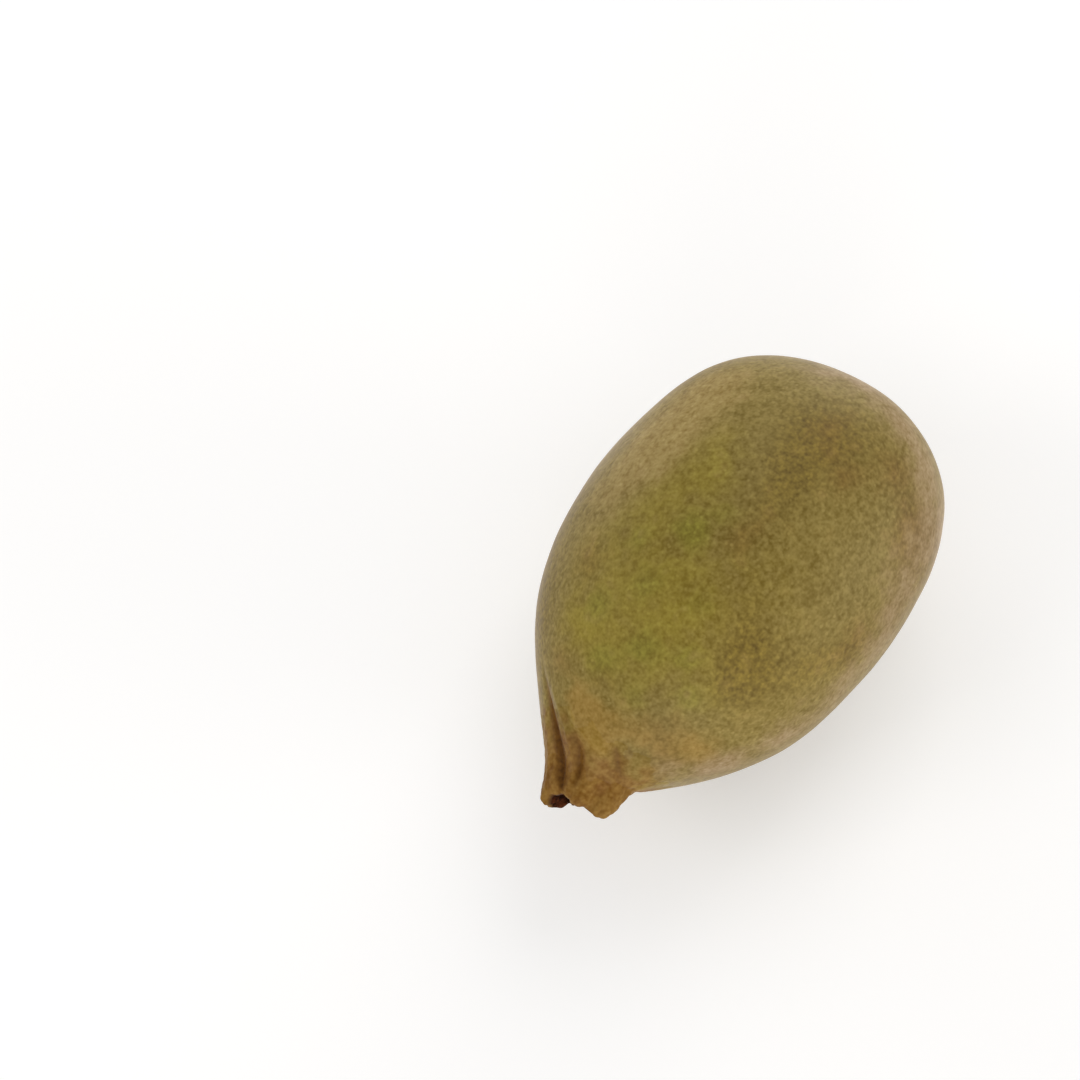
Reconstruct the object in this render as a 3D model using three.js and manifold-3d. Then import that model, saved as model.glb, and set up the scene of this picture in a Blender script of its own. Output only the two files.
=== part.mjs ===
// A whole golden kiwi fruit lying on its side. Millimetres, +Z up, +X towards the stem end.
// The fruit is one closed body: a lathed outline, bent, creased and slightly flattened as
// the fruit grew, tipped the way it comes to rest, with a small flat spot to rest on.

import * as THREE from 'three';
import { NURBSCurve } from 'three/addons/curves/NURBSCurve.js';
import { mergeVertices } from 'three/addons/utils/BufferGeometryUtils.js';
import Module from 'manifold-3d';

const wasm = await Module();
wasm.setup();

// Driving dimensions

const sectionFlatness = 0.95;  // height over width of the body's cross-section
const restDroop = 4.5;         // degrees by which the beak hangs below the stem end
const footDepth = 0.5;         // how far the skin is pressed flat where the fruit rests
const ringsAlong = 56;
const facetsAround = 56;

// Control points of one smooth curve, from the beak's pit to the scar at the stem end, as
// [distance along the fruit, radius, sideways bend of the middle line towards +Y].
const outline = [
  [3.4, 0, 0],       // floor of the pit in the beak
  [3.4, 1.6, 0],
  [1.4, 2.4, 0],     // wall of the pit
  [-0.8, 2.7, 0],    // lip of the beak
  [-1.0, 4.5, 0],
  [0.8, 5.5, 0.2],
  [3.8, 6.2, 0.4],   // neck
  [8.7, 11.6, 1.2],  // shoulder
  [21.3, 21.7, 0.8],
  [36.0, 24.1, 0.5], // belly
  [44.9, 24.7, 0.1],
  [66.2, 20.0, -0.8], // blunt stem end
  [71.7, 6.6, -2.1],
  [70.3, 3.2, -2.1], // dimple round the stem scar
  [70.1, 0, -2.1],
];

// Creases run up from the beak's lip. Angles are degrees round the fruit: 0 is +Y, 90 is up.
// A crease twists as it runs back, and it nicks the lip where it starts.
const creases = [
  { at: 52, wide: 13, deep: 1.2, reach: 7.0, twist: -1.2, nick: 0.2 },
  { at: 74, wide: 15, deep: 0.2, reach: 5.0, twist: -0.5, nick: 0.6 },
  { at: 126, wide: 11, deep: 0.5, reach: 8.0, twist: -1.6, nick: 0.1 },
  { at: 188, wide: 11, deep: 0.9, reach: 7.0, twist: 0, nick: 0.5 },
  { at: 236, wide: 13, deep: 1.2, reach: 8.0, twist: 0.8, nick: 0.9 },
  { at: 290, wide: 11, deep: 0.9, reach: 7.0, twist: 0, nick: 0.6 },
  { at: 334, wide: 10, deep: 0.4, reach: 6.0, twist: 0, nick: 0.3 },
];
const nickReach = 2.5;         // how far behind the lip a nick is still felt

// Lobes of the lip between the creases, pushed outwards and forwards
const lobes = [
  { at: 12, wide: 20, out: -0.9, forward: 1.8 },
  { at: 104, wide: 22, out: 0.1, forward: 0.3 },
  { at: 156, wide: 22, out: 1.0, forward: 0.6 },
  { at: 318, wide: 30, out: 0.2, forward: 2.1 },
];
const lobeReach = 4;           // how far behind the lip a lobe still swells the beak
const openingRadius = 4;       // inside this radius creases and lobes fade into the pit

const lipSlant = 0.2;          // the +Y side of the lip stands this share of Y further out
const lipSlantUp = 0.2;        // and its upper side this share of Z
const slantReach = 6;

const skin = new THREE.MeshStandardMaterial({ color: 0x85753f, roughness: 0.75, metalness: 0 });

function bell(distance, reach) {
  return Math.exp(-((distance / reach) ** 2));
}

function degreesApart(a, b) {
  return THREE.MathUtils.euclideanModulo(a - b + 180, 360) - 180;
}

// Cubic curve through the outline's hull, clamped to its first and last points on the axis
function outlineCurve() {
  const degree = 3;
  const spans = outline.length - degree;
  const knots = Array(degree).fill(0);
  for (let i = 0; i <= spans; i += 1) knots.push(i / spans);
  knots.push(...Array(degree).fill(1));
  const controls = outline.map(([along, radius, side]) => new THREE.Vector4(radius, along, side, 1));
  return new NURBSCurve(degree, knots, controls);
}

// One point of the skin. ring holds the radius, the distance along and the sideways bend.
function skinPoint(ring, angle) {
  const [radius, along, side] = ring;
  const behindLip = Math.max(along, 0);
  const outsidePit = Math.min(radius / openingRadius, 1);
  let forward = 0;
  let swell = 0;
  for (const crease of creases) {
    const middle = crease.at + crease.twist * behindLip;
    const across = bell(degreesApart(angle, middle), crease.wide) * outsidePit;
    swell -= crease.deep * across * bell(behindLip, crease.reach);
    forward -= crease.nick * across * bell(along, nickReach);
  }
  for (const lobe of lobes) {
    const amount = bell(degreesApart(angle, lobe.at), lobe.wide) * bell(along, lobeReach);
    swell += lobe.out * amount * outsidePit;
    forward += lobe.forward * amount * outsidePit;
  }
  const turn = THREE.MathUtils.degToRad(angle);
  const y = (radius + swell) * Math.cos(turn) + side;
  const z = (radius + swell) * Math.sin(turn) * sectionFlatness;
  const slant = (lipSlant * y + lipSlantUp * z) * bell(along, slantReach);
  const x = along - forward - slant;
  return new THREE.Vector3(x, y, z);
}

// The lathe gives the rings and facets, and each of its points is then moved to the skin
function fruitGeometry() {
  const curve = outlineCurve();
  const rings = [];
  for (let i = 0; i <= ringsAlong; i += 1) rings.push(curve.getPoint(i / ringsAlong).toArray());
  rings[0][0] = 0;
  rings[ringsAlong][0] = 0;
  const profile = rings.map(([radius, along]) => new THREE.Vector2(radius, along));
  const geometry = new THREE.LatheGeometry(profile, facetsAround);
  const position = geometry.getAttribute('position');
  for (let i = 0; i < position.count; i += 1) {
    const ring = rings[i % rings.length];
    const facet = Math.floor(i / rings.length) % facetsAround;
    const point = skinPoint(ring, 360 * facet / facetsAround);
    position.setXYZ(i, point.x, point.y, point.z);
  }
  geometry.rotateY(THREE.MathUtils.degToRad(-restDroop));
  return geometry;
}

// A closed geometry as a solid, with its shared corners merged
function solidOf(geometry) {
  const bare = geometry.clone();
  bare.deleteAttribute('normal');
  bare.deleteAttribute('uv');
  const merged = mergeVertices(bare, 1e-4);
  const corners = merged.index.array;
  const triangles = [];
  for (let i = 0; i < corners.length; i += 3) {
    const [a, b, c] = corners.slice(i, i + 3);
    if (a !== b && b !== c && c !== a) triangles.push(a, b, c);
  }
  return new wasm.Manifold(new wasm.Mesh({
    numProp: 3,
    vertProperties: Float32Array.from(merged.getAttribute('position').array),
    triVerts: Uint32Array.from(triangles),
  }));
}

function geometryOf(solid) {
  const mesh = solid.getMesh();
  const geometry = new THREE.BufferGeometry();
  geometry.setAttribute('position', new THREE.BufferAttribute(mesh.vertProperties, 3));
  geometry.setIndex(new THREE.BufferAttribute(mesh.triVerts, 1));
  geometry.computeVertexNormals();
  geometry.computeBoundingBox();
  return geometry;
}

// Slab that takes the underside off up to the given height
function slabBelow(height, box) {
  const size = box.getSize(new THREE.Vector3());
  const middle = box.getCenter(new THREE.Vector3());
  const slab = new THREE.BoxGeometry(2 * size.x, 2 * size.y, size.z);
  slab.translate(middle.x, middle.y, height - size.z / 2);
  return slab;
}

// The fruit stands with its resting spot on z = 0 and its box centred on the origin
function wholeFruit() {
  const grown = fruitGeometry();
  grown.computeBoundingBox();
  const floor = grown.boundingBox.min.z + footDepth;
  const slab = slabBelow(floor, grown.boundingBox);
  const fruit = new THREE.Mesh(geometryOf(solidOf(grown).subtract(solidOf(slab))), skin);
  const middle = fruit.geometry.boundingBox.getCenter(new THREE.Vector3());
  fruit.name = 'kiwi_fruit';
  fruit.position.set(-middle.x, -middle.y, -floor);
  return fruit;
}

const group = new THREE.Group();
group.add(wholeFruit());

export default group;
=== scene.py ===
import math
import random

import bpy
import numpy as np
from mathutils import Matrix, Vector, noise


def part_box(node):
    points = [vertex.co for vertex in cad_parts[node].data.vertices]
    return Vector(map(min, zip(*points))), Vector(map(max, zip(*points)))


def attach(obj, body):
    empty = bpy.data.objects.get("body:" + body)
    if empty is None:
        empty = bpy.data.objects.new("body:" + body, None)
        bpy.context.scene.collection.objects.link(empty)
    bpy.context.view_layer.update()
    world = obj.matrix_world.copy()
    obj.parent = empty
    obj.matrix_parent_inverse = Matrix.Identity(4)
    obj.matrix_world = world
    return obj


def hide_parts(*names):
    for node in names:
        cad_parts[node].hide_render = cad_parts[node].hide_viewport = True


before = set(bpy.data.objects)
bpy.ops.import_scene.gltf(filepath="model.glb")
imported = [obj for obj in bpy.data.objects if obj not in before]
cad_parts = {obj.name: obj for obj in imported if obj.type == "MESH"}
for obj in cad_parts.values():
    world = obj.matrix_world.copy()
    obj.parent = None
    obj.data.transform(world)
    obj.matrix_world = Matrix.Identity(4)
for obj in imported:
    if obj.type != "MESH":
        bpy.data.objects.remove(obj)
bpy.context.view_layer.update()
mm = 0.001

# The fruit's shape in millimetres and degrees. "along" runs from the lip of the beak to the
# stem end. Angles go round the fruit: 0 is +Y and 90 is up.
fruitShape = {
    "outline": [  # distance along, radius, sideways bend of the middle line
        (3.4, 0.0, 0.0),  # floor of the pit
        (3.4, 1.6, 0.0),
        (1.4, 2.4, 0.0),
        (-0.8, 2.7, 0.0),  # lip
        (-1.0, 4.5, 0.0),
        (0.8, 5.5, 0.2),
        (3.8, 6.2, 0.4),  # neck
        (8.7, 11.6, 1.2),  # shoulder
        (21.3, 21.7, 0.8),
        (36.0, 24.1, 0.5),  # belly
        (44.9, 24.7, 0.1),
        (66.2, 20.0, -0.8),  # blunt stem end
        (71.7, 6.6, -2.1),
        (70.3, 3.2, -2.1),  # dimple round the stem scar
        (70.1, 0.0, -2.1),
    ],
    "flatness": 0.95,  # height over width of the section
    "droop": 4.5,  # the beak hangs below the stem end
    "footDepth": 0.5,  # how far the skin is pressed flat where it rests
    "openingRadius": 4.0,  # inside it, creases and lobes fade into the pit
    "lipSlant": 0.2,
    "lipSlantUp": 0.2,
    "slantReach": 6.0,
    "nickReach": 2.5,
    "lobeReach": 4.0,
    "creases": [  # angle, width, depth, reach, twist per mm, nick in the lip
        (50, 15, 0.4, 7.0, -1.2, 0.2),
        (74, 15, 0.2, 5.0, -0.5, 0.6),
        (126, 11, 0.5, 8.0, -1.6, 0.1),
        (188, 11, 0.9, 7.0, 0.0, 0.5),
        (236, 13, 1.2, 8.0, 0.8, 0.9),
        (290, 11, 0.9, 7.0, 0.0, 0.6),
        (334, 10, 0.4, 6.0, 0.0, 0.3),
    ],
    "lobes": [  # angle, width, outwards, forwards
        (12, 20, -0.9, 1.8),
        (104, 22, 0.1, 0.3),
        (156, 22, 1.0, 0.6),
        (318, 30, 0.2, 2.1),
    ],
    "facets": 310,  # round the fruit
    "curvePoints": 3000,  # along the outline, for placing the rings
    "fineStep": 0.16,  # ring spacing at the beak and the scar
    "bodyStep": 0.57,  # ring spacing on the body
    "beakGrows": (10.0, 20.0),  # distances along between which the spacing grows
    "scarGrows": (5.0, 11.0),  # radii between which it grows at the stem end
    "stemHalf": 40.0,  # what lies further along belongs to the stem end
    "poleFade": 0.6,  # relief dies out inside this radius, where the rings close up
}


def bell(distance, reach):
    return np.exp(-((distance / reach) ** 2))


def degreesApart(a, b):
    return (a - b + 180) % 360 - 180


def shareOf(value, low, high):
    return np.clip((value - low) / (high - low), 0, 1)


def softStep(value, low, high):
    share = shareOf(value, low, high)
    return share * share * (3 - 2 * share)


# Cubic curve inside the control points, clamped to the first and the last
def smoothCurve(controls, count):
    controls = np.array(controls, float)
    total = len(controls)
    degree = min(3, total - 1)
    inner = np.linspace(0, 1, total - degree + 1)
    knots = np.concatenate([[0] * degree, inner, [1] * degree])
    points = np.zeros((count, controls.shape[1]))
    for i, t in enumerate(np.linspace(0, 1, count)):
        span = int(np.clip(np.searchsorted(knots, t, side="right") - 1, degree, total - 1))
        mix = [controls[j + span - degree].copy() for j in range(degree + 1)]
        for level in range(1, degree + 1):
            for j in range(degree, level - 1, -1):
                low = knots[j + span - degree]
                high = knots[j + 1 + span - level]
                share = (t - low) / (high - low)
                mix[j] = (1 - share) * mix[j - 1] + share * mix[j]
        points[i] = mix[degree]
    return points


# Rings lie close together where the beak and the scar need detail
def outlineRings(shape):
    dense = smoothCurve(shape["outline"], shape["curvePoints"])
    dense[[0, -1], 1] = 0
    steps = np.linalg.norm(np.diff(dense[:, :2], axis=0), axis=1)
    length = np.concatenate([[0], np.cumsum(steps)])
    along, radius = dense[:, 0], dense[:, 1]
    nearBeak = 1 - shareOf(along, *shape["beakGrows"])
    nearScar = (1 - shareOf(radius, *shape["scarGrows"])) * (along > shape["stemHalf"])
    fine = np.clip(nearBeak + nearScar, 0, 1)
    spacing = shape["bodyStep"] + (shape["fineStep"] - shape["bodyStep"]) * fine
    paid = np.concatenate([[0], np.cumsum(steps / spacing[1:])])
    where = np.interp(np.linspace(0, paid[-1], int(paid[-1])), paid, length)
    return np.stack([np.interp(where, length, dense[:, k]) for k in range(3)], axis=1), where


# Plain surface before the fine folds, in the fruit's own frame: one row for each ring
def plainSkin(shape, rings, angles):
    along, radius, side = (rings[:, k][:, None] for k in range(3))
    behindLip = np.maximum(along, 0)
    outsidePit = np.minimum(radius / shape["openingRadius"], 1)
    forward = np.zeros((len(rings), angles.shape[-1]))
    swell = np.zeros_like(forward)
    for at, wide, deep, reach, twist, nick in shape["creases"]:
        across = bell(degreesApart(angles, at + twist * behindLip), wide) * outsidePit
        swell -= deep * across * bell(behindLip, reach)
        forward -= nick * across * bell(along, shape["nickReach"])
    for at, wide, out, ahead in shape["lobes"]:
        amount = bell(degreesApart(angles, at), wide) * bell(along, shape["lobeReach"]) * outsidePit
        swell += out * amount
        forward += ahead * amount
    turn = np.radians(angles)
    y = (radius + swell) * np.cos(turn) + side
    z = (radius + swell) * np.sin(turn) * shape["flatness"]
    slant = (shape["lipSlant"] * y + shape["lipSlantUp"] * z) * bell(along, shape["slantReach"])
    return np.stack([along - forward - slant, y, z], axis=-1)


def tipped(points, droop):
    c, s = math.cos(math.radians(droop)), math.sin(math.radians(droop))
    x, y, z = points[..., 0], points[..., 1], points[..., 2]
    return np.stack([x * c - z * s, y, x * s + z * c], axis=-1)


# How far the tipped surface is moved to stand in the CAD model's box, and the height of the floor
def placeInBox(points, shape):
    plain = tipped(points, shape["droop"])
    low, high = plain.min((0, 1)), plain.max((0, 1))
    boxLow, boxHigh = (np.array(corner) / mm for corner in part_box("kiwi_fruit"))
    place = (boxLow + boxHigh - low - high) / 2
    place[2] = boxLow[2] - low[2] - shape["footDepth"]
    return place, boxLow[2]


def outwardNormals(points):
    across = np.roll(points, -1, 1) - np.roll(points, 1, 1)
    lengthways = np.gradient(points, axis=0)
    normals = np.cross(lengthways, across)
    normals /= np.linalg.norm(normals, axis=-1, keepdims=True) + 1e-12
    return normals if ((points - points.mean((0, 1))) * normals).sum() > 0 else -normals


def lumpyNoise(points, size, seed):
    shift = Vector((seed * 17.3, seed * 5.1, seed * 9.7))
    values = [noise.noise(Vector(p) + shift) for p in points.reshape(-1, 3) / size]
    return np.array(values).reshape(points.shape[:-1])


# Where places given as (along, angle) lie on the plain surface
def placesOnSkin(points, rings, angles, stations):
    outside = np.arange(len(rings)) > np.argmin(rings[:, 0])
    found = []
    for along, angle in stations:
        row = np.argmin(np.where(outside, np.abs(rings[:, 0] - along), 1e9))
        column = np.argmin(np.abs(degreesApart(angles, angle)))
        found.append(points[row, column])
    return np.array(found)


# Soft round spots added up; each is given by its distance along, angle, reach and strength
def spotsOnSkin(points, rings, angles, spots):
    total = np.zeros(points.shape[:-1])
    for along, angle, reach, strength in spots:
        centre = placesOnSkin(points, rings, angles, [(along, angle)])[0]
        total += strength * bell(np.linalg.norm(points - centre, axis=-1), reach)
    return total


foldCut = {
    "grooveSharpness": 1.4,  # a groove has a sharper bottom than a ridge's top
    "ridgeSharpness": 2.0,
    "felt": 3,  # half widths away from its path that a fold is still felt
    "pathPoints": 6,  # for each station of a fold
    "smoothings": 10,  # evens out the steps of a path from one ring to the next
}


# Height of a fold over the skin; it follows the path, with a half width and a height at each point
def foldAmount(points, path, halfWidths, heights):
    flat = points.reshape(-1, 3)
    reach = foldCut["felt"] * max(halfWidths)
    low, high = path.min(0) - reach, path.max(0) + reach
    near = np.where(((flat > low) & (flat < high)).all(1))[0]
    gap = np.full(len(near), 1e9)
    wide = np.ones(len(near))
    height = np.zeros(len(near))
    for k in range(len(path) - 1):
        step = path[k + 1] - path[k]
        share = np.clip((flat[near] - path[k]) @ step / max(step @ step, 1e-9), 0, 1)
        away = np.linalg.norm(flat[near] - path[k] - share[:, None] * step, axis=1)
        closer = away < gap
        gap = np.where(closer, away, gap)
        wide = np.where(closer, halfWidths[k] + share * (halfWidths[k + 1] - halfWidths[k]), wide)
        height = np.where(closer, heights[k] + share * (heights[k + 1] - heights[k]), height)
    amount = np.zeros(len(flat))
    sharpness = np.where(height < 0, foldCut["grooveSharpness"], foldCut["ridgeSharpness"])
    amount[near] = height * np.exp(-((gap / wide) ** sharpness))
    return amount.reshape(points.shape[:-1])


fruitFolds = {
    # how dark it is, then along, angle, half width and height (below 0 is a groove); the darkness is
    # browner skin plus painted shade that deepens with the groove
    "mainCrease": (1.35, [
        (12.0, 30, 0.6, -0.05), (10.0, 34, 0.8, -0.25), (8.0, 39, 0.9, -0.5), (6.2, 45, 1.0, -0.75),
        (4.3, 53, 1.1, -0.9), (2.3, 59, 1.0, -0.85), (0.8, 64, 0.9, -0.8), (-0.4, 67, 0.7, -0.5),
    ]),
    "creaseRidge": (0.0, [
        (9.8, 43, 0.5, 0.1), (7.6, 57, 0.6, 0.2), (5.4, 71, 0.6, 0.25), (3.0, 80, 0.6, 0.25),
        (0.9, 86, 0.6, 0.15),
    ]),
    "secondCrease": (1.6, [
        (6.9, 72, 0.5, -0.15), (5.6, 80, 0.8, -0.35), (4.2, 86, 0.9, -0.4), (2.8, 89, 0.8, -0.35),
        (1.2, 90, 0.6, -0.15),
    ]),
    "browFold": (0.0, [
        (8.6, 63, 0.6, 0.1), (7.7, 73, 0.8, 0.35), (6.9, 86, 0.9, 0.4), (6.4, 99, 0.8, 0.25),
    ]),
    "neckDimple": (1.2, [
        (7.3, 110, 0.9, -0.3), (6.4, 118, 1.1, -0.45), (5.2, 127, 1.0, -0.3), (4.2, 140, 0.8, -0.2),
        (3.8, 155, 0.8, -0.2),
    ]),
    "neckRight": (0.2, [
        (4.0, 155, 0.7, -0.2), (4.2, 180, 0.8, -0.3), (4.6, 210, 0.8, -0.3),
    ]),
    "collarCrack": (0.5, [
        (1.0, 138, 0.25, -0.15), (0.2, 142, 0.3, -0.25), (-0.6, 146, 0.3, -0.3),
    ]),
    "underCrease": (0.7, [
        (9.0, 232, 0.8, -0.2), (6.0, 236, 1.0, -0.6), (3.0, 240, 0.9, -0.6), (0.5, 240, 0.5, -0.2),
    ]),
    "leftCrease": (0.5, [
        (8.5, 326, 0.6, -0.1), (5.5, 330, 0.8, -0.4), (2.5, 333, 0.7, -0.4), (0.5, 334, 0.4, -0.1),
    ]),
}


# Creases and ridges of the beak: their height over the skin, and how dark they make it, as browner skin
# plus painted shade in the grooves
def foldTheBeak(points, rings, angles, outside):
    lift = np.zeros(points.shape[:-1])
    dark = np.zeros_like(lift)
    for darkness, stations in fruitFolds.values():
        trail = smoothCurve(stations, foldCut["pathPoints"] * len(stations))
        path = placesOnSkin(points, rings, angles, trail[:, :2])
        for _ in range(foldCut["smoothings"]):
            path[1:-1] = (path[:-2] + 2 * path[1:-1] + path[2:]) / 4
        fold = foldAmount(points, path, trail[:, 2], trail[:, 3]) * outside
        lift += fold
        dark += darkness * np.clip(-fold, 0, None)
    return lift, dark


fruitSwells = [  # along, angle, reach, height: the fruit isn't quite round
    (58, 28, 7, 0.25), (69, 111, 6, 0.35), (55, 181, 8, 0.4), (43, 27, 7, -0.25), (64, 55, 6, -0.25),
    (67, 160, 5, -0.2), (39, 176, 7, -0.2), (10.5, 178, 4, -0.15), (30, 260, 9, 0.3),
    (50, 310, 9, -0.3), (60, 230, 8, 0.3),
]
fruitRelief = {  # millimetres
    "lumps": 0.12, "lumpSize": 11.0,
    "dimples": 0.035, "dimpleSize": 3.2,
    "wrinkles": 0.16, "wrinkleLength": 8.0, "wrinklesRound": 6.0,
    "collarGrain": 0.10, "grainSize": 0.7,
    "collarFades": (3.5, 9.5),  # distances along between which wrinkles and grain die out
    "lipRag": 0.3, "ragSize": 1.3,
    "lipRadius": 3.4, "lipWidth": 1.3, "lipEnds": 6.0,
}


def roughenTheSkin(points, along, radius, turn):
    relief = fruitRelief
    collar = 1 - softStep(along, *relief["collarFades"])
    across = relief["wrinklesRound"] * np.cos(turn) + 0 * along
    upwards = relief["wrinklesRound"] * np.sin(turn) + 0 * along
    streaks = np.stack([along / relief["wrinkleLength"], across, upwards], axis=-1)
    lip = bell(radius - relief["lipRadius"], relief["lipWidth"]) * (along < relief["lipEnds"])
    lift = relief["lumps"] * lumpyNoise(points, relief["lumpSize"], 1)
    lift += relief["dimples"] * lumpyNoise(points, relief["dimpleSize"], 2)
    lift += relief["wrinkles"] * collar * lumpyNoise(streaks, 1.0, 3)
    lift += relief["collarGrain"] * collar * lumpyNoise(points, relief["grainSize"], 4)
    lift += relief["lipRag"] * lip * lumpyNoise(points, relief["ragSize"], 6)
    return lift


stemScar = {  # millimetres: the corky scar where the stalk came away
    "radius": 2.4, "edge": 0.5,
    "rim": 0.4, "rimWidth": 0.45, "rimUneven": 0.8, "unevenSize": 0.9,
    "sunk": 0.55, "pith": 0.8,  # the middle is sunk within the radius of the pith
    "cracks": 0.22, "crackSize": 0.45, "cracksRound": 2.2, "crackLength": 4.0,
    "ringReach": 1.6,  # how far the darker ring of skin spreads round it
    "paleLeast": 0.35, "paleAtCracks": 0.9, "paleAtRim": 0.5,
}


# Height of the scar over the skin, and the shares of cork, pale cork and darker ring
def makeStemScar(along, radius, turn):
    scar = stemScar
    atStem = along > fruitShape["stemHalf"]
    rim = bell(radius - scar["radius"], scar["rimWidth"]) * atStem
    disc = softStep(scar["radius"] - radius, 0, scar["edge"]) * atStem
    ring = bell(np.maximum(radius - scar["radius"], 0), scar["ringReach"]) * atStem
    across = scar["cracksRound"] * np.cos(turn) + 0 * along
    upwards = scar["cracksRound"] * np.sin(turn) + 0 * along
    rays = np.stack([across, upwards, radius / scar["crackLength"]], axis=-1)
    cracked = lumpyNoise(rays, scar["crackSize"], 7)
    lift = scar["rim"] * rim * (1 + scar["rimUneven"] * lumpyNoise(rays, scar["unevenSize"], 8))
    lift += disc * (scar["cracks"] * cracked - scar["sunk"] * bell(radius, scar["pith"]))
    pale = scar["paleLeast"] + scar["paleAtCracks"] * cracked + scar["paleAtRim"] * rim
    return lift, disc, np.clip(pale, 0, 1) * disc, ring


# soft-edged patches of another tint (the pale and lit-flank ones are painted light, a few deep ones
# painted shade): along, angle, reach, strength
skinPatches = {
    "goldPatch": [
        (48, 72, 5.0, 0.4), (43, 80, 4.5, 0.35), (41, 66, 6.0, 0.4), (36, 60, 5.0, 0.25),
        (31, 72, 8.0, 0.45), (24, 82, 8.0, 0.4), (17, 92, 7.0, 0.35), (23, 110, 8.0, 0.25),
        (26, 52, 4.5, 0.4), (18, 56, 4.5, 0.55), (17, 73, 4.0, 0.25), (29, 96, 6.0, 0.2),
        (20, 126, 4.0, 0.4), (34, 112, 9.0, 0.2), (20, 255, 9.0, 0.5), (40, 325, 9.0, 0.4),
    ],
    "greenPatch": [
        (35.5, 83, 3.0, 0.9), (40, 90, 2.5, 0.4), (31, 68, 2.5, 0.5), (26.5, 80, 2.6, 0.6),
        (21, 64, 2.6, 0.7), (19, 91, 3.0, 0.8), (15, 76, 2.8, 0.8), (13.6, 100, 2.2, 0.5),
        (21, 107, 2.6, 0.6), (17.5, 120, 2.4, 0.55), (24, 126, 2.2, 0.7), (28, 99, 2.4, 0.5),
        (30, 250, 7.0, 0.8), (22, 300, 5.0, 0.6), (48, 210, 5.0, 0.5), (44, 330, 6.0, 0.4),
    ],
    "deepPatch": [
        (57, 97, 5.5, 1.0), (61, 112, 5.0, 0.4), (50, 98, 4.5, 0.7), (44, 99, 4.0, 0.35),
        (37, 101, 4.0, 0.2), (32, 110, 4.0, 0.3), (27, 123, 4.5, 0.7), (23, 131, 4.5, 0.8),
        (30, 146, 5.0, 0.6), (36, 157, 4.5, 0.6), (45, 260, 9.0, 0.6), (52, 0, 8.0, 0.5),
        # these four are painted shade, darkening the +Y rim and the side of the neck
        (10, 22, 3.5, 0.5), (17, 22, 5.0, 0.7), (25, 19, 6.0, 0.6), (35, 14, 7.0, 0.6),
    ],
    "warmPatch": [
        (57, 99, 3.5, 0.45), (61, 99, 3.0, 0.35), (54, 114, 3.0, 0.6), (41, 102, 2.5, 0.4),
        (38, 97, 2.5, 0.5), (60, 131, 4.0, 0.6), (54, 152, 5.0, 0.7), (58, 165, 6.0, 0.6),
        (37, 156, 4.0, 0.5), (45, 165, 7.0, 0.4), (45, 47, 4.0, 0.5), (55, 45, 4.0, 0.5),
        (26, 53, 4.0, 0.5), (14, 166, 4.0, 0.5), (10, 142, 3.5, 0.6), (12, 122, 3.5, 0.5),
        (13, 52, 3.0, 0.4), (13.5, 80, 2.5, 0.4), (60, 270, 8.0, 0.6), (35, 290, 7.0, 0.5),
        (20, 230, 6.0, 0.5), (66, 0, 7.0, 0.5),
    ],
    "tanPatch": [  # golden brow and neck
        (6.9, 97, 2.0, 0.8), (7.9, 83, 2.2, 1.0), (9.8, 68, 2.5, 0.8), (10.0, 86, 2.5, 0.6),
        (9.5, 104, 2.5, 0.5), (11, 115, 3.0, 0.5), (12.5, 135, 3.5, 0.5), (13.7, 150, 3.5, 0.5),
        (11, 250, 4.0, 0.6), (12, 320, 4.0, 0.5),
    ],
    # painted light: the upper-left flank lightened where the studio light falls on it
    "paintedLitFlankPatch": [
        (27, 40, 4.5, 0.2), (35, 45, 5.0, 0.5), (42, 50, 6.0, 0.8), (50, 48, 6.5, 0.9),
        (57, 50, 5.0, 0.7), (48, 300, 8.0, 0.5),
    ],
    # painted light: lighter rims and flanks where the side light and sheen catch them
    "palePatch": [
        (50, 160, 5.5, 0.5), (41, 170, 5.5, 0.6), (32, 172, 5.0, 0.45), (23, 170, 5.0, 0.6),
        (14, 168, 4.0, 0.9), (9, 150, 3.0, 0.6), (69, 95, 4.0, 0.7), (67, 123, 4.0, 0.8),
        (64, 147, 4.5, 0.8), (58, 164, 5.0, 0.7), (67, 75, 4.0, 0.5), (40, 345, 8.0, 0.4),
        (28, 215, 6.0, 0.5), (55, 240, 8.0, 0.4),
    ],
}
skinWear = {  # millimetres along: the down is worn off towards the beak
    "bare": 3.5, "thin": 8.0,
    "ragged": 1.5, "raggedSize": 2.0,
    # the pit mask carries the darker brown and painted shade into the pit
    "pitRadius": (2.8, 4.3),  # the pit's tone comes in between these radii
    "pitEnds": 10.0,
    "bareCrease": 0.5,  # a crease darker than this has no down
    "pitShare": 0.85,  # and the pit's wall begins at this share
}


# One closed mesh: the rings as they stand, and a pole in place of the first and the last
def closedMesh(placed):
    rows, facets = len(placed) - 2, placed.shape[1]
    vertices = np.vstack([placed[1:-1].reshape(-1, 3), placed[[0, -1]].mean(1)]) * mm
    index = np.arange(rows * facets).reshape(rows, facets)
    beside = np.roll(index, -1, 1)
    faces = np.stack([index[:-1], beside[:-1], beside[1:], index[1:]], axis=-1).reshape(-1, 4).tolist()
    pitPole, scarPole = rows * facets, rows * facets + 1
    faces += [(pitPole, int(beside[0, j]), int(index[0, j])) for j in range(facets)]
    faces += [(scarPole, int(index[-1, j]), int(beside[-1, j])) for j in range(facets)]
    return vertices, faces


# A value for each point of the skin, kept on the mesh for the materials
def keepOnSkin(fruit, name, grid, atPit=0.0, atScar=0.0):
    layer = fruit.data.attributes.new(name, "FLOAT", "POINT")
    values = np.concatenate([grid[1:-1].ravel(), [atPit, atScar]])
    layer.data.foreach_set("value", values.astype(np.float32))


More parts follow.
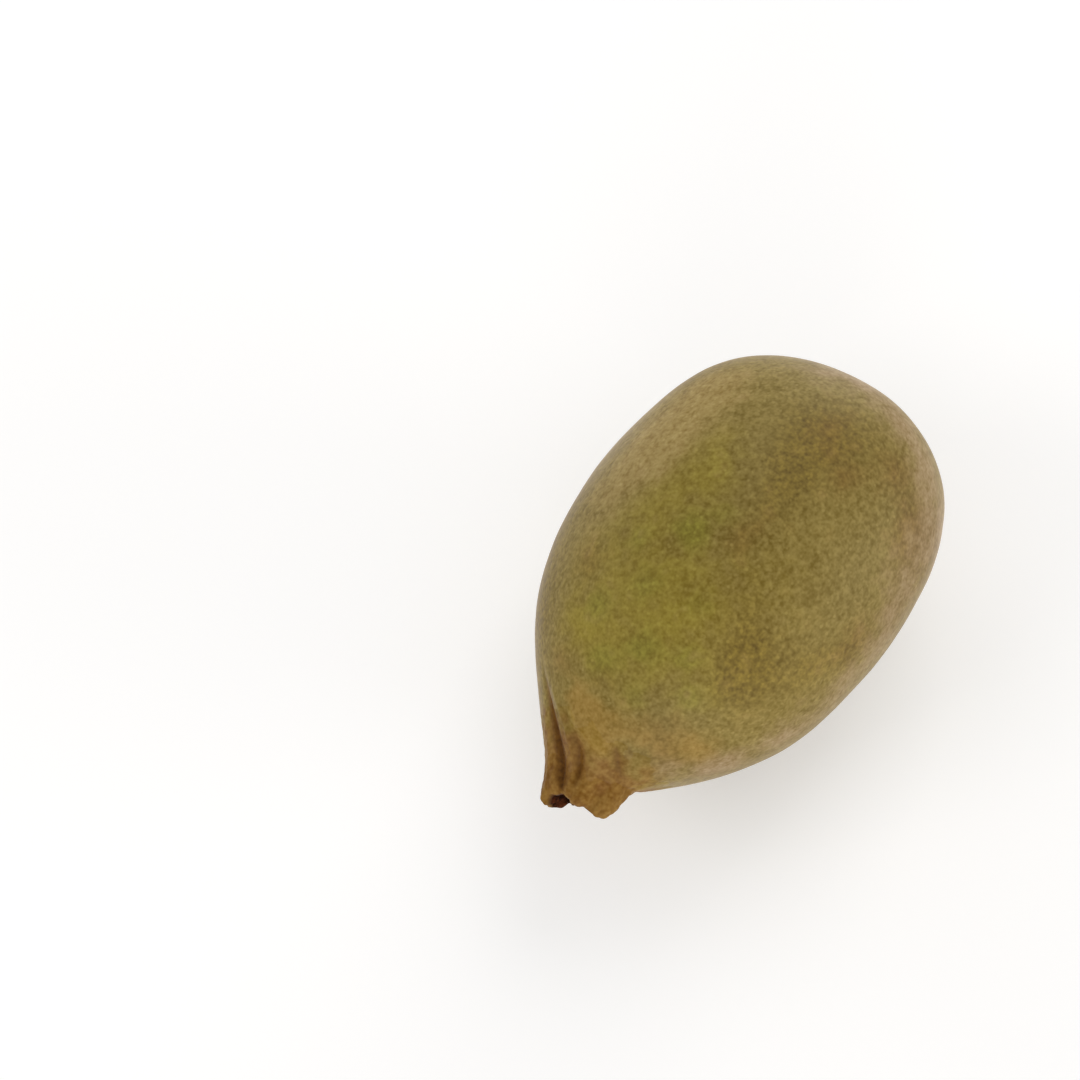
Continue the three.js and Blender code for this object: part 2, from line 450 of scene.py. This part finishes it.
def makeFruit():
    shape, wear = fruitShape, skinWear
    rings, where = outlineRings(shape)
    facets = shape["facets"]
    angles = np.linspace(0, 360, facets, endpoint=False)[None, :] - 90
    turn = np.radians(angles)
    points = plainSkin(shape, rings, angles)
    along = np.broadcast_to(rings[:, :1], points.shape[:2])
    radius = np.broadcast_to(rings[:, 1:2], points.shape[:2])
    outside = (where > where[np.argmin(rings[:, 0])])[:, None]
    place, floorHeight = placeInBox(points, shape)

    folded, dark = foldTheBeak(points, rings, angles, outside)
    scarred, cork, palerCork, ring = makeStemScar(along, radius, turn)
    lift = roughenTheSkin(points, along, radius, turn)
    lift += spotsOnSkin(points, rings, angles, fruitSwells) + folded + scarred
    lift *= np.clip(radius / shape["poleFade"], 0, 1)
    placed = tipped(points + outwardNormals(points) * lift[..., None], shape["droop"]) + place
    placed[..., 2] = np.maximum(placed[..., 2], floorHeight)
    fruit = meshObject("kiwiFruit", *closedMesh(placed))

    lowest, highest = wear["pitRadius"]
    inPit = softStep(highest - radius, 0, highest - lowest) * (along < wear["pitEnds"])
    keepOnSkin(fruit, "along", along, rings[0, 0], rings[-1, 0])
    # how dark the creases are: browner skin plus painted shade
    keepOnSkin(fruit, "creaseTintAndShadeMask", np.clip(dark, 0, 1))
    keepOnSkin(fruit, "pit", inPit, 1, 0)
    keepOnSkin(fruit, "scar", cork, 0, 1)
    keepOnSkin(fruit, "corkPale", palerCork)
    keepOnSkin(fruit, "scarRim", ring, 0, 1)
    for name, spots in skinPatches.items():
        keepOnSkin(fruit, name, np.clip(spotsOnSkin(points, rings, angles, spots), 0, 1))
    # four finishes by face, from the body to the pit
    ragged = along + wear["ragged"] * lumpyNoise(points, wear["raggedSize"], 5)
    finish = np.where(ragged < wear["bare"], 2, np.where(ragged < wear["thin"], 1, 0))
    finish = np.where(dark > wear["bareCrease"], 2, finish)
    finish = np.where(inPit > wear["pitShare"], 3, np.where(outside, finish, 2))
    perFace = finish[1:-2].ravel().tolist() + [3] * facets + [0] * facets
    fruit.data.polygons.foreach_set("material_index", perFace)
    return fruit, place


def meshObject(name, vertices, faces):
    mesh = bpy.data.meshes.new(name)
    mesh.from_pydata(np.asarray(vertices).tolist(), [], faces)
    mesh.update()
    mesh.polygons.foreach_set("use_smooth", [True] * len(mesh.polygons))
    if signedVolume(mesh) < 0:
        mesh.flip_normals()
    made = bpy.data.objects.new(name, mesh)
    bpy.context.scene.collection.objects.link(made)
    return made


def signedVolume(mesh):
    mesh.calc_loop_triangles()
    spots = np.zeros(len(mesh.vertices) * 3)
    mesh.vertices.foreach_get("co", spots)
    corners = np.zeros(len(mesh.loop_triangles) * 3, int)
    mesh.loop_triangles.foreach_get("vertices", corners)
    a, b, c = (spots.reshape(-1, 3)[corners.reshape(-1, 3)[:, k]] for k in range(3))
    return float((np.cross(a, b) * c).sum() / 6)


def toned(*screen):  # a screen colour, 0 to 255, as the linear value that a shader takes
    shares = [v / 255 for v in screen]
    linear = [v / 12.92 if v <= 0.04 else ((v + 0.055) / 1.055) ** 2.4 for v in shares]
    return (*linear, 1.0)


def addNode(tree, kind, **settings):
    node = tree.nodes.new(kind)
    for key, value in settings.items():
        setattr(node, key, value)
    return node


def feed(tree, socket, value):
    if isinstance(value, bpy.types.NodeSocket):
        tree.links.new(value, socket)
    else:
        socket.default_value = value


def attributeOf(tree, name):
    return addNode(tree, "ShaderNodeAttribute", attribute_name=name).outputs["Fac"]


def objectPlace(tree):
    return addNode(tree, "ShaderNodeTexCoord").outputs["Object"]


def noiseOf(tree, where, perMetre, detail, roughness):
    node = addNode(tree, "ShaderNodeTexNoise")
    feed(tree, node.inputs["Vector"], where)
    feed(tree, node.inputs["Scale"], perMetre)
    feed(tree, node.inputs["Detail"], detail)
    feed(tree, node.inputs["Roughness"], roughness)
    return node.outputs["Fac"]


def ranged(tree, value, low, high, toLow=0.0, toHigh=1.0, smooth=True):
    node = addNode(tree, "ShaderNodeMapRange", interpolation_type="SMOOTHSTEP" if smooth else "LINEAR")
    feed(tree, node.inputs["Value"], value)
    feed(tree, node.inputs["From Min"], low)
    feed(tree, node.inputs["From Max"], high)
    feed(tree, node.inputs["To Min"], toLow)
    feed(tree, node.inputs["To Max"], toHigh)
    return node.outputs["Result"]


def maths(tree, operation, a, b):
    node = addNode(tree, "ShaderNodeMath", operation=operation)
    feed(tree, node.inputs[0], a)
    feed(tree, node.inputs[1], b)
    return node.outputs[0]


# A value with some of a noise added
def roughened(tree, value, grain, amount):
    return maths(tree, "ADD", value, maths(tree, "MULTIPLY", grain, amount))


def mixed(tree, share, a, b):
    node = addNode(tree, "ShaderNodeMix", data_type="RGBA")
    feed(tree, node.inputs[0], share)
    feed(tree, node.inputs[6], a)
    feed(tree, node.inputs[7], b)
    return node.outputs[2]


def newMaterial(name):
    material = bpy.data.materials.new(name)
    material.use_nodes = True
    material.node_tree.nodes.clear()
    return material, material.node_tree


# Ends a material: a shader with the given sockets set or fed, and bumps if it has any
def finishMaterial(tree, sockets, height=None, bumpStrength=0.0, bumpDistance=0.0):
    shader = addNode(tree, "ShaderNodeBsdfPrincipled")
    for name, value in sockets.items():
        feed(tree, shader.inputs[name], value)
    if height is not None:
        bump = addNode(tree, "ShaderNodeBump")
        feed(tree, bump.inputs["Strength"], bumpStrength)
        feed(tree, bump.inputs["Distance"], bumpDistance)
        feed(tree, bump.inputs["Height"], height)
        feed(tree, shader.inputs["Normal"], bump.outputs["Normal"])
    out = addNode(tree, "ShaderNodeOutputMaterial")
    feed(tree, out.inputs["Surface"], shader.outputs["BSDF"])


fruitSkin = {
    # ground colour and speck colour of each zone
    "olive": (toned(107, 86, 3), toned(150, 130, 65)),
    "gold": (toned(122, 102, 0), toned(154, 137, 46)),
    "green": (toned(108, 94, 0), toned(145, 135, 42)),
    "deep": (toned(90, 69, 0), toned(144, 121, 42)),
    "warm": (toned(97, 69, 0), toned(139, 109, 38)),
    # lighter flank: painted light
    "paintedLitFlank": (toned(130, 104, 38), toned(167, 145, 84)),
    # lighter rims and flanks: painted light and painted sheen
    "pale": (toned(128, 101, 48), toned(166, 142, 104)),
    "tan": (toned(126, 96, 16), toned(160, 129, 60)),
    "beak": (toned(115, 77, 20), toned(149, 114, 54)),
    "beakStain": (toned(100, 60, 14), toned(131, 90, 42)),
    "scar": (toned(86, 62, 34), toned(150, 122, 82)),
    "scarRing": (toned(84, 60, 20), toned(124, 98, 50)),
    # crease colours: browner skin in the folds plus painted shade, darkest at the bottom of each groove
    "creaseWall": (toned(92, 56, 4), toned(122, 82, 24)),
    "crease": (toned(66, 37, 0), toned(100, 62, 8)),
    # darker brown into the pit's mouth: the lip's own brown with painted shade of the pit
    "pitMouthTintAndShade": toned(74, 42, 16),
    # noise cells to the metre, detail and roughness
    "fine": (1300, 1.0, 0.7),
    "coarse": (290, 1.0, 1.0),
    "broad": (60, 2.0, 0.5),
    "beakBlots": (260, 2.0, 0.6),
    "corkGrain": (2400, 3.0, 0.7),
    # how much of each noise, and what is added, makes the specks
    "fineSpecks": 1.7, "coarseSpecks": 0.6, "broadSpecks": 0.5, "speckLevel": 0.46,
    "pores": 850, "poreEdge": (0.12, 0.26), "poreGlow": 0.3,
    "speckRange": 1.2,
    # how much the coarse noise breaks up the edge of each zone
    "patchRagged": 0.8, "beakRagged": 7.0, "creaseRagged": 0.3, "ringRagged": 0.6, "lipRagged": 0.5,
    # where each mask begins and ends, and the most it can cover
    "patchEdge": (0.05, 0.95),
    "beakEnds": (4.5, 9.0),  # millimetres along
    "beakThinned": (0.2, 1.0, 1.0, 0.35),  # by the golden brow
    "stainEdge": (0.45, 0.68, 0.0, 0.8),
    "creaseWallEdge": (0.02, 0.6, 0.0, 0.8),
    "creaseEdge": (0.2, 1.0, 0.0, 1.0),
    "scarRingEdge": (0.1, 0.9, 0.0, 0.9),
    "corkEdge": (0.45, 1.35),
    "lipEdge": (0.1, 0.8),
    "roughness": 0.62,
    "sheenRoughness": 0.3,
    "sheenTint": (1.0, 0.85, 0.78, 1.0),
    "bumpStrength": 0.5, "bumpDistance": 0.00005,
    "finishes": {  # sheen of the down, and how much the bare skin shines
        "fruitSkin": (0.42, 0.35),
        "shoulderSkin": (0.16, 0.22),
        "beakSkin": (0.05, 0.12),
    },
}


def makeSkinMaterial(name, sheen, specular):
    look = fruitSkin
    material, tree = newMaterial(name)
    where = objectPlace(tree)
    fine, coarse, broad = (ranged(tree, noiseOf(tree, where, *look[size]), 0.0, 1.0, -0.5, 0.5, False)
                           for size in ("fine", "coarse", "broad"))
    speck = maths(tree, "MULTIPLY", fine, look["fineSpecks"])
    speck = roughened(tree, speck, coarse, look["coarseSpecks"])
    speck = roughened(tree, speck, broad, look["broadSpecks"])
    speck = maths(tree, "ADD", speck, look["speckLevel"])
    pores = addNode(tree, "ShaderNodeTexVoronoi")
    feed(tree, pores.inputs["Vector"], where)
    feed(tree, pores.inputs["Scale"], look["pores"])
    dots = ranged(tree, pores.outputs["Distance"], *look["poreEdge"], look["poreGlow"], 0.0)
    most = look["speckRange"]
    specks = ranged(tree, maths(tree, "ADD", speck, dots), 0.0, most, 0.0, most, False)

    # the tints of the body, each over the one before; the pale and lit-flank tints are painted light,
    # and deep is partly painted shade
    ground, grain = look["olive"]
    ragged = maths(tree, "MULTIPLY", coarse, look["patchRagged"])
    for zone in ("gold", "green", "deep", "warm", "paintedLitFlank", "pale", "tan"):
        patch = maths(tree, "ADD", attributeOf(tree, zone + "Patch"), ragged)
        share = ranged(tree, patch, *look["patchEdge"])
        ground = mixed(tree, share, ground, look[zone][0])
        grain = mixed(tree, share, grain, look[zone][1])

    # the browner beak
    edge = roughened(tree, attributeOf(tree, "along"), coarse, look["beakRagged"])
    atBeak = ranged(tree, edge, *look["beakEnds"], 1.0, 0.0)
    thinned = ranged(tree, attributeOf(tree, "tanPatch"), *look["beakThinned"])
    atBeak = maths(tree, "MULTIPLY", atBeak, thinned)
    stained = ranged(tree, noiseOf(tree, where, *look["beakBlots"]), *look["stainEdge"])
    ground = mixed(tree, atBeak, ground, mixed(tree, stained, look["beak"][0], look["beakStain"][0]))
    grain = mixed(tree, atBeak, grain, mixed(tree, stained, look["beak"][1], look["beakStain"][1]))

    # creases, darkened by their browner skin and by painted shade, and the ring of skin round the scar
    creaseTintAndShade = roughened(tree, attributeOf(tree, "creaseTintAndShadeMask"), coarse, look["creaseRagged"])
    ringed = roughened(tree, attributeOf(tree, "scarRim"), coarse, look["ringRagged"])
    for part, mask in (("creaseWall", creaseTintAndShade), ("crease", creaseTintAndShade), ("scarRing", ringed)):
        share = ranged(tree, mask, *look[part + "Edge"])
        ground = mixed(tree, share, ground, look[part][0])
        grain = mixed(tree, share, grain, look[part][1])
    colour = mixed(tree, specks, ground, grain)

    # cork of the scar, and the skin darkening into the pit: the lip's own brown with painted shade of
    # the pit
    grained = maths(tree, "ADD", noiseOf(tree, where, *look["corkGrain"]), attributeOf(tree, "corkPale"))
    cork = mixed(tree, ranged(tree, grained, *look["corkEdge"]), *look["scar"])
    colour = mixed(tree, attributeOf(tree, "scar"), colour, cork)
    stain = roughened(tree, attributeOf(tree, "pit"), coarse, look["lipRagged"])
    colour = mixed(tree, ranged(tree, stain, *look["lipEdge"]), colour, look["pitMouthTintAndShade"])
    finishMaterial(tree, {
        "Base Color": colour,
        "Roughness": look["roughness"],
        "Specular IOR Level": specular,
        "Sheen Weight": sheen,
        "Sheen Roughness": look["sheenRoughness"],
        "Sheen Tint": look["sheenTint"],
    }, speck, look["bumpStrength"], look["bumpDistance"])
    return material


beakPit = {
    # the wall is near black: dark dried tissue plus painted shade of the deep pit; the reddish stain is
    # its own colour
    "wall": toned(32, 15, 7), "stain": toned(98, 50, 26),
    "blots": (900, 3.0, 0.6), "blotEdge": (0.35, 0.75),
    "roughness": 0.95, "specular": 0.05,
    "bumpStrength": 0.8, "bumpDistance": 0.0002,
}


def makePitMaterial():
    look = beakPit
    material, tree = newMaterial("pitWall")
    stain = ranged(tree, noiseOf(tree, objectPlace(tree), *look["blots"]), *look["blotEdge"])
    finishMaterial(tree, {
        "Base Color": mixed(tree, stain, look["wall"], look["stain"]),
        "Roughness": look["roughness"],
        "Specular IOR Level": look["specular"],
    }, stain, look["bumpStrength"], look["bumpDistance"])
    return material


driedTuft = {  # what is left of the flower, down in the pit of the beak; millimetres
    "count": 30, "sides": 6, "steps": 9,
    "spread": 2.4,  # turn from one strand to the next, so no two start together
    "rootSpread": 1.4, "tipSpread": 2.2, "tipLeast": 0.35,
    "floor": 3.8, "tips": (0.3, 2.0),  # distances along the fruit
    "thick": 0.3, "thin": 0.08,
    "curl": 0.9, "curlWaves": 1.6,
    "knobs": 0.25, "knobWaves": 9,
    "dark": toned(30, 15, 7), "pale": toned(92, 54, 26),
    "fibre": (2600, 3.0, 0.6), "fibreEdge": (0.35, 0.7),
    "roughness": 0.9, "specular": 0.1,
    "seed": 5,
}


def strandRings(tuft, strand, dice):
    turn = tuft["spread"] * strand
    out = math.sqrt((strand + 0.5) / tuft["count"])
    root = Vector((tuft["floor"], math.cos(turn), math.sin(turn)))
    root.yz *= out * tuft["rootSpread"]
    tip = Vector((dice.uniform(*tuft["tips"]), math.cos(turn), math.sin(turn)))
    tip.yz *= (tuft["tipLeast"] + (1 - tuft["tipLeast"]) * out) * tuft["tipSpread"]
    bend = Vector((0, dice.uniform(-1, 1), dice.uniform(-1, 1))) * tuft["curl"]
    corners = []
    for step in range(tuft["steps"]):
        t = step / (tuft["steps"] - 1)
        middle = root.lerp(tip, t) + bend * math.sin(math.pi * t * tuft["curlWaves"])
        thick = tuft["thick"] * (1 - t) + tuft["thin"] * t
        thick *= 1 + tuft["knobs"] * math.sin(tuft["knobWaves"] * t + strand)
        for side in range(tuft["sides"]):
            a = 2 * math.pi * side / tuft["sides"]
            corners.append(middle + Vector((0, math.cos(a), math.sin(a))) * thick)
    return corners


def makeDriedTuft(place):
    tuft = driedTuft
    sides, steps = tuft["sides"], tuft["steps"]
    dice = random.Random(tuft["seed"])
    vertices, faces = [], []
    for strand in range(tuft["count"]):
        first = len(vertices)
        vertices += strandRings(tuft, strand, dice)
        for step in range(steps - 1):
            for side in range(sides):
                a, b = first + step * sides + side, first + step * sides + (side + 1) % sides
                faces.append((a, b, b + sides, a + sides))
        faces.append(tuple(range(first + sides - 1, first - 1, -1)))
        last = first + (steps - 1) * sides
        faces.append(tuple(range(last, last + sides)))
    placed = (tipped(np.array(vertices), fruitShape["droop"]) + place) * mm
    strands = meshObject("driedTuft", placed, faces)
    material, tree = newMaterial("driedFlower")
    fibre = ranged(tree, noiseOf(tree, objectPlace(tree), *tuft["fibre"]), *tuft["fibreEdge"])
    finishMaterial(tree, {
        "Base Color": mixed(tree, fibre, tuft["dark"], tuft["pale"]),
        "Roughness": tuft["roughness"],
        "Specular IOR Level": tuft["specular"],
    })
    strands.data.materials.append(material)
    return strands


fruit, place = makeFruit()
for name, finish in fruitSkin["finishes"].items():
    fruit.data.materials.append(makeSkinMaterial(name, *finish))
fruit.data.materials.append(makePitMaterial())
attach(fruit, "root")
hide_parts("kiwi_fruit")
print("fruit made:", len(fruit.data.polygons), "faces")

tuft = makeDriedTuft(place)
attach(tuft, "root")
print("dried tuft made:", len(tuft.data.polygons), "faces")

studio = {
    "azimuth": -56.2, "elevation": 69.0, "distance": 0.56, "lens": 132.5,
    "aimedAt": (36.0, 0.0, 0.0),  # the point of the fruit, in its own frame, that is framed
    "rightOfCentre": 0.0255, "belowCentre": 0.0071,
    "surround": 0.43,  # light from all round
    "lamps": [  # azimuth, elevation, distance, width, height, watts
        (100, 50, 0.7, 0.40, 0.35, 0.9),
        (-130, 40, 0.7, 0.40, 0.35, 0.95),
        (-60, 10, 0.7, 0.40, 0.16, 1.85),
        (20, 10, 0.7, 0.40, 0.16, 1.7),
        (100, 10, 0.7, 0.40, 0.16, 1.6),
        (172, 12, 0.7, 0.40, 0.16, 0.8),
    ],
    "lampsAimAt": 0.02,  # height
    "floor": (0.8, 0.79, 0.78, 1.0), "floorRadius": 3, "floorSides": 64,
    "floorGlow": 0.3,
    "floorFades": (0.12, 0.6),  # metres from the fruit between which the floor turns plain white
}


def makeCamera():
    azimuth, elevation = math.radians(studio["azimuth"]), math.radians(studio["elevation"])
    back = Vector((math.sin(azimuth) * math.cos(elevation),
                   -math.cos(azimuth) * math.cos(elevation), math.sin(elevation)))
    right = Vector((math.cos(azimuth), math.sin(azimuth), 0))
    up = back.cross(right)
    target = Vector((tipped(np.array(studio["aimedAt"]), fruitShape["droop"]) + place) * mm)
    stands = target + back * studio["distance"]
    middle = target - right * studio["rightOfCentre"] + up * studio["belowCentre"]
    back = (stands - middle).normalized()
    right = up.cross(back).normalized()
    up = back.cross(right)
    lens = bpy.data.cameras.new("camera")
    lens.lens = studio["lens"]
    lens.sensor_width = 36
    lens.clip_start, lens.clip_end = 0.01, 20
    camera = bpy.data.objects.new("camera", lens)
    bpy.context.scene.collection.objects.link(camera)
    camera.matrix_world = Matrix.Translation(stands) @ Matrix((right, up, back)).transposed().to_4x4()
    bpy.context.scene.camera = camera


def makeLamp(name, azimuth, elevation, distance, width, height, watts):
    a, e = math.radians(azimuth), math.radians(elevation)
    towards = Vector((math.sin(a) * math.cos(e), -math.cos(a) * math.cos(e), math.sin(e)))
    light = bpy.data.lights.new(name, "AREA")
    light.shape = "RECTANGLE"
    light.size, light.size_y = width, height
    light.energy = watts
    lamp = bpy.data.objects.new(name, light)
    lamp.location = towards * distance + Vector((0, 0, studio["lampsAimAt"]))
    lamp.rotation_mode = "QUATERNION"
    lamp.rotation_quaternion = towards.to_track_quat("Z", "Y")
    bpy.context.scene.collection.objects.link(lamp)


# Pale by the fruit, where its shadow falls, and plain white further off
def makeFloor():
    sides, radius = studio["floorSides"], studio["floorRadius"]
    turns = np.linspace(0, 2 * math.pi, sides, endpoint=False)
    corners = [(math.cos(t) * radius, math.sin(t) * radius, 0) for t in turns]
    mesh = bpy.data.meshes.new("floor")
    mesh.from_pydata(corners, [], [tuple(range(sides))])
    floor = bpy.data.objects.new("floor", mesh)
    bpy.context.scene.collection.objects.link(floor)
    material, tree = newMaterial("paleFloor")
    diffuse = addNode(tree, "ShaderNodeBsdfDiffuse")
    feed(tree, diffuse.inputs["Color"], studio["floor"])
    glow = addNode(tree, "ShaderNodeEmission")
    feed(tree, glow.inputs["Strength"], studio["floorGlow"])
    near = addNode(tree, "ShaderNodeAddShader")
    feed(tree, near.inputs[0], diffuse.outputs[0])
    feed(tree, near.inputs[1], glow.outputs[0])
    white = addNode(tree, "ShaderNodeEmission")
    away = addNode(tree, "ShaderNodeVectorMath", operation="LENGTH")
    feed(tree, away.inputs[0], objectPlace(tree))
    both = mixedShader(tree, ranged(tree, away.outputs["Value"], *studio["floorFades"]), near, white)
    path = addNode(tree, "ShaderNodeLightPath")
    seen = maths(tree, "MAXIMUM", path.outputs["Is Camera Ray"], path.outputs["Is Glossy Ray"])
    out = addNode(tree, "ShaderNodeOutputMaterial")
    feed(tree, out.inputs["Surface"], mixedShader(tree, seen, diffuse, both).outputs[0])
    mesh.materials.append(material)


def mixedShader(tree, share, a, b):
    node = addNode(tree, "ShaderNodeMixShader")
    feed(tree, node.inputs[0], share)
    feed(tree, node.inputs[1], a.outputs[0])
    feed(tree, node.inputs[2], b.outputs[0])
    return node


def makeSurround():
    world = bpy.data.worlds.new("studio")
    world.use_nodes = True
    tree = world.node_tree
    tree.nodes.clear()
    light = addNode(tree, "ShaderNodeBackground")
    white = addNode(tree, "ShaderNodeBackground")
    for background, strength in ((light, studio["surround"]), (white, 1.0)):
        feed(tree, background.inputs["Color"], (1.0, 1.0, 1.0, 1.0))
        feed(tree, background.inputs["Strength"], strength)
    path = addNode(tree, "ShaderNodeLightPath")
    pick = mixedShader(tree, path.outputs["Is Camera Ray"], light, white)
    out = addNode(tree, "ShaderNodeOutputWorld")
    feed(tree, out.inputs["Surface"], pick.outputs[0])
    bpy.context.scene.world = world


makeCamera()
makeFloor()
makeSurround()
for number, lamp in enumerate(studio["lamps"]):
    makeLamp(f"softbox{number}", *lamp)
bpy.context.scene.view_settings.view_transform = "Standard"
print("studio made")
